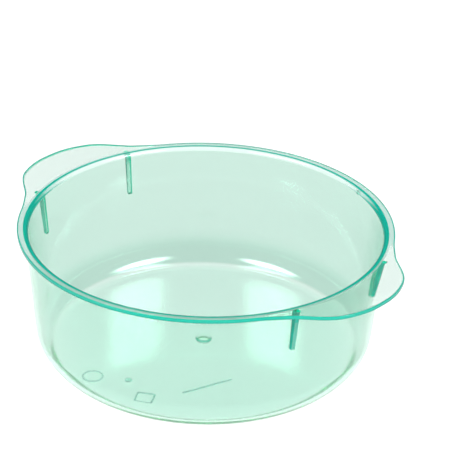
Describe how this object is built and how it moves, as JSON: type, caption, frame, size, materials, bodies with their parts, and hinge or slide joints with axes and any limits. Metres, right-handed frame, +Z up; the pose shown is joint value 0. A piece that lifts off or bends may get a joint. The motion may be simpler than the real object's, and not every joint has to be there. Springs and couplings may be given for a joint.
{
  "type": "hair color bowl",
  "caption": "Shallow transparent plastic mixing bowl with a flat floor, large rounded bottom corner, narrow flat lip, two opposite tab handles and outer stacking ribs.",
  "frame": {"origin": "middle of the underside, on the surface that the bowl stands on", "axes": "+Z up out of the mouth; +X from the middle towards one tab handle, the other is at -X"},
  "size_m": [0.1426, 0.12, 0.0442],
  "materials": {
    "clear_green_plastic": "polished transparent polystyrene with a light aqua-green tint, darker where seen edge-on"
  },
  "bodies": {
    "root": {"bowl_floor": "clear_green_plastic", "gate_boss": "clear_green_plastic", "side_wall": "clear_green_plastic", "rim_lip": "clear_green_plastic", "handle_right": "clear_green_plastic", "handle_left": "clear_green_plastic", "stacking_rib_1": "clear_green_plastic", "stacking_rib_2": "clear_green_plastic", "stacking_rib_3": "clear_green_plastic", "stacking_rib_4": "clear_green_plastic", "locating_pip": "clear_green_plastic", "mark_ring": "clear_green_plastic", "mark_dot": "clear_green_plastic", "mark_square": "clear_green_plastic", "mark_bar": "clear_green_plastic"}
  },
  "joints": []
}
